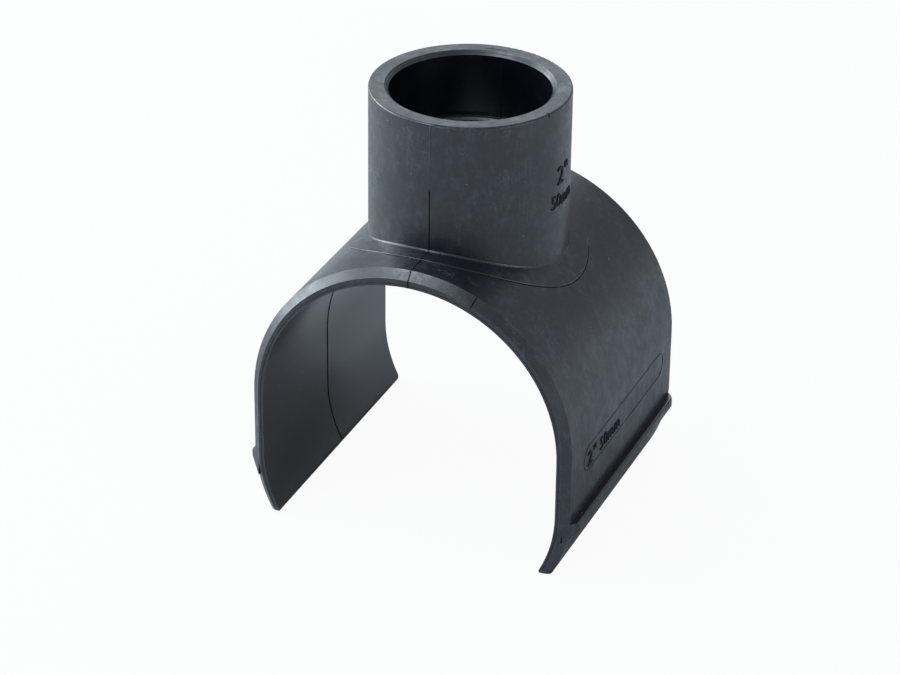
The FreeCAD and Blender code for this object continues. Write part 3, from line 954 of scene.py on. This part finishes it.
@dataclass
class SizeMarks:
    """The plain nominal size, 2 inch and 50 mm, raised on the socket and in a panel on one flank."""

    form: SaddleForm
    height: float = 0.30 * MM
    root: float = 0.25 * MM
    strip: float = 1.0 * MM
    panel_front: float = -38.0 * MM
    panel_rear: float = 41.3 * MM
    panel_top: float = -2.3 * MM
    panel_foot: float = -11.8 * MM
    panel_line: Ridge = Ridge(width=0.38 * MM, height=0.14 * MM)
    figure_share: float = 0.73
    rounding: float = 0.04 * MM
    thinning: float = 0.12 * MM
    merge: float = 0.001 * MM
    socket_marks: tuple = (
        Mark("socket_mark_inch", "2\"", 7.2 * MM, -5.3 * MM, 2.7 * MM, 79.3 * MM),
        Mark("socket_mark_metric", "50mm", 5.2 * MM, -8.6 * MM, 7.4 * MM, 71.0 * MM),
    )
    panel_marks: tuple = (
        Mark("panel_mark_inch", "2\"", 5.8 * MM, -34.4 * MM, -26.6 * MM, -10.3 * MM),
        Mark("panel_mark_metric", "50mm", 5.2 * MM, -22.6 * MM, -3.4 * MM, -10.4 * MM),
    )

    def letters(self, mark: Mark, bend: float | None) -> bpy.types.Object:
        """Raised letters on the side that faces +X, read with +Y to the right.

        The flat letters are cut into strips first. With a bend, a point at u, v and w, across, up
        and out of the page, goes to the angle u over the bend about the branch's axis, at the bend
        plus w from it and v up. Without, u goes along Y and w out along X from the leg's face.

        Args:
            mark: the letters and their place; figures are figure_share of a letter's size high.
            bend: radius of the surface about the branch's axis, or None for the flat leg.

        Returns:
            The new piece.
        """
        curve = bpy.data.curves.new(mark.name, "FONT")
        curve.body = mark.words
        curve.size = mark.cap / self.figure_share
        curve.extrude = (self.height + self.root) / 2
        curve.bevel_depth = self.rounding
        curve.offset = -self.thinning
        carrier = new_object(mark.name + "_flat", curve)
        bpy.context.view_layer.update()
        mesh = bpy.data.meshes.new_from_object(carrier.evaluated_get(bpy.context.evaluated_depsgraph_get()))
        bpy.data.objects.remove(carrier)

        work = bmesh.new()
        work.from_mesh(mesh)
        bmesh.ops.remove_doubles(work, verts=work.verts, dist=self.merge)
        start, end = min(v.co.x for v in work.verts), max(v.co.x for v in work.verts)
        for place in np.arange(start, end, self.strip):
            bmesh.ops.bisect_plane(work, geom=work.verts[:] + work.edges[:] + work.faces[:],
                                   plane_co=(place, 0, 0), plane_no=(1, 0, 0))
        bmesh.ops.triangulate(work, faces=work.faces)
        bmesh.ops.recalc_face_normals(work, faces=work.faces)
        work.to_mesh(mesh)
        work.free()

        flat = np.zeros(len(mesh.vertices) * 3)
        mesh.vertices.foreach_get("co", flat)
        u, v, w = flat.reshape(-1, 3).T
        u = np.interp(u, (start, end), (mark.start, mark.end))
        v = v + mark.base
        w = w + (self.height - self.root) / 2
        if bend is None:
            points = np.stack([self.form.arch + w, u, v], axis=1)
        else:
            points = circle_points(bend + w, v, u / bend)
        mesh.vertices.foreach_set("co", points.ravel())
        mesh.update()
        return new_object(mark.name, mesh)

    def panel(self) -> bpy.types.Object:
        """The panel's outline on the right flank: two straight lines joined by two half circles."""
        r = (self.panel_top - self.panel_foot) / 2
        middle = (self.panel_top + self.panel_foot) / 2
        turn = np.linspace(-math.pi / 2, math.pi / 2, 24)
        front, rear = self.panel_front + r, self.panel_rear - r
        straight = np.linspace(front, rear, 60)[1:-1]
        y = np.concatenate([rear + r * np.cos(turn), straight[::-1], front - r * np.cos(turn), straight])
        z = np.concatenate([middle + r * np.sin(turn), np.full(straight.shape, middle + r),
                            middle - r * np.sin(turn), np.full(straight.shape, middle - r)])
        path = np.stack([np.full_like(y, self.form.arch), y, z], axis=1)
        normals = np.tile([1.0, 0.0, 0.0], (len(path), 1))
        return self.panel_line.along("label_panel", path, normals, loop=True)

    def build(self) -> list[bpy.types.Object]:
        """Makes the panel and the size marks."""
        return ([self.panel()] + [self.letters(mark, self.form.socket) for mark in self.socket_marks]
                + [self.letters(mark, None) for mark in self.panel_marks])


@dataclass(frozen=True)
class Softbox:
    """An area lamp: its place, size and power, the point that it is aimed at, and its tint."""

    name: str
    place: tuple
    width: float
    height: float
    power: float
    target: tuple
    tint: tuple

    def build(self) -> None:
        """Makes the lamp."""
        lamp = bpy.data.lights.new(self.name, "AREA")
        lamp.shape = "RECTANGLE"
        lamp.size, lamp.size_y = self.width, self.height
        lamp.energy, lamp.color = self.power, self.tint
        made = new_object(self.name, lamp)
        made.location = self.place
        aim = Vector(self.target) - Vector(self.place)
        made.rotation_euler = aim.to_track_quat("-Z", "Y").to_euler()


@dataclass
class Studio:
    """Pale floor, white surround, soft lamps and the camera."""

    floor_level: float
    floor_half: float = 3.0
    cool: tuple = (0.84, 0.93, 1.0, 1.0)
    camera_glow: float = 0.95
    near_glow: float = 0.10
    far_glow: float = 0.75
    glow_from: float = 0.25
    glow_full: float = 0.60
    room_light: float = 0.30
    room_mirrored: float = 0.44
    camera_place: tuple = (0.39421, -0.95918, 0.57969)
    camera_right: tuple = (0.92042, 0.39079, 0.01050)
    camera_up: tuple = (-0.19672, 0.43978, 0.87630)
    focal: float = 132.9
    sensor: float = 36.0
    clip: tuple = (0.05, 20.0)
    aim: tuple = (0.0, 0.0, 0.03)
    floor_base: tuple = (0.56, 0.58, 0.60, 1.0)
    floor_roughness: float = 0.9

    def floor(self) -> None:
        """The floor: a flat sheet at the lips' level that shows white and keeps the shadow."""
        side = np.linspace(-self.floor_half, self.floor_half, 9)
        x, y = np.meshgrid(side, side, indexing="ij")
        points = np.stack([x.ravel(), y.ravel(), np.full(x.size, self.floor_level)], axis=1)
        faces = MeshMaker.grid_faces(len(side), len(side), False, False)[:, ::-1]
        made = MeshMaker.piece("studio_floor", points, faces, smooth=False)
        made.data.materials.append(self.floor_material())

    def floor_material(self) -> bpy.types.Material:
        """White for the camera and in reflections, with part of the real shading, so a shadow stays."""
        material, write, shader = new_material("studio_white")
        write.feed(shader, {"Base Color": self.floor_base, "Roughness": self.floor_roughness})
        rays = write.add("ShaderNodeLightPath").outputs
        mirrored = write.math("MAXIMUM", rays["Is Glossy Ray"], rays["Is Transmission Ray"])
        white = write.blend(mirrored, (1.0, 1.0, 1.0, 1.0), self.cool)
        glow = write.add("ShaderNodeEmission", {"Color": white, "Strength": 1.0})
        place = write.add("ShaderNodeTexCoord").outputs["Object"]
        away = write.add("ShaderNodeVectorMath", {0: place}, operation="LENGTH").outputs["Value"]
        mirror_glow = write.ramp(away, self.glow_from, self.glow_full, self.near_glow, self.far_glow)
        share = write.math("MULTIPLY", rays["Is Camera Ray"], self.camera_glow)
        share = write.math("ADD", share, write.math("MULTIPLY", mirrored, mirror_glow), clamp=True)
        mix = write.add("ShaderNodeMixShader",
                        {0: share, 1: shader.outputs["BSDF"], 2: glow.outputs["Emission"]})
        write.feed(material.node_tree.nodes["Material Output"], {"Surface": mix.outputs["Shader"]})
        return material

    def surround(self) -> None:
        """The world: white where the camera sees it, a pale room in reflections, plain light elsewhere."""
        world = bpy.data.worlds.new("studio_surround")
        bpy.context.scene.world = world
        world.use_nodes = True
        write = NodeWriter(world.node_tree)
        rays = write.add("ShaderNodeLightPath").outputs
        mirrored = write.math("MAXIMUM", rays["Is Glossy Ray"], rays["Is Transmission Ray"])
        strength = write.ramp(mirrored, 0.0, 1.0, self.room_light, self.room_mirrored)
        strength = write.math("MAXIMUM", strength, rays["Is Camera Ray"])
        colour = write.blend(rays["Is Camera Ray"], self.cool, (1.0, 1.0, 1.0, 1.0))
        write.feed(world.node_tree.nodes["Background"], {"Color": colour, "Strength": strength})

    def lamps(self) -> None:
        """Four softboxes: low on the left, high behind, high in front, and a weak one on the right."""
        for lamp in (
                ("key_left", (-1.15, 0.05, 0.38), 1.2, 0.8, 21.0),
                ("high_behind", (-0.42, 1.10, 0.78), 1.1, 0.6, 3.6),
                ("high_front", (-0.42, -0.55, 1.00), 0.5, 0.5, 6.0),
                ("fill_right", (1.05, -0.10, 0.30), 0.5, 0.4, 2.6)):
            Softbox(*lamp, target=self.aim, tint=self.cool[:3]).build()

    def camera(self) -> None:
        """The camera, at the photograph's viewing angle."""
        lens = bpy.data.cameras.new("camera")
        lens.lens, lens.sensor_width = self.focal, self.sensor
        lens.clip_start, lens.clip_end = self.clip
        made = new_object("camera", lens)
        right, up = Vector(self.camera_right), Vector(self.camera_up)
        back = right.cross(up)
        turned = Matrix((right, up, back)).transposed()
        made.matrix_world = Matrix.Translation(self.camera_place) @ turned.to_4x4()
        bpy.context.scene.camera = made

    def build(self) -> None:
        """Sets up the whole studio."""
        self.floor()
        self.surround()
        self.lamps()
        self.camera()
        bpy.context.scene.view_settings.view_transform = "Standard"


def dress(piece: bpy.types.Object, finish: bpy.types.Material) -> None:
    """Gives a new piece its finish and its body."""
    piece.data.materials.clear()
    piece.data.materials.append(finish)
    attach(piece, BODY)
    log.info("%s: %d faces", piece.name, len(piece.data.polygons))


# A near-black, rough, barely shiny copy of the etched plastic: painted shade for the dark fine lines.
PAINTED_SHADE_PLASTIC = MarkPlastic(
    name="painted_shade_charcoal", dark=(0.0012, 0.0014, 0.0018, 1.0), light=(0.0040, 0.0045, 0.0055, 1.0),
    roughness_low=0.85, roughness_high=0.95, shine=0.12)


def main() -> None:
    """Builds the marks, dresses the moulding and sets up the studio."""
    logging.basicConfig(level=logging.INFO, format="%(name)s %(message)s")
    form = SaddleForm.from_frame(frame)
    effects = {effect.name: effect() for effect in (Mottle, Scuffs, Dust, EdgeWearAndHighlight)}
    plastics = {Finish.PLAIN: MouldedPlastic(), Finish.ETCHED: MarkPlastic(),
                Finish.PAINTED_SHADE: PAINTED_SHADE_PLASTIC}
    finishes = {finish: plastic.build(effects) for finish, plastic in plastics.items()}

    moulding = frame["nodes"][NODE]
    for slot in moulding.material_slots:
        slot.material = finishes[Finish.PLAIN]
    log.info("%s: %d faces", moulding.name, len(moulding.data.polygons))

    for piece, finish in MouldLines(form).build():
        dress(piece, finishes[finish])
    for piece in SizeMarks(form).build():
        dress(piece, finishes[Finish.ETCHED])

    Studio(floor_level=CAD_BOX[0][2] - FLOOR_GAP).build()


if __name__ == "__main__":
    main()
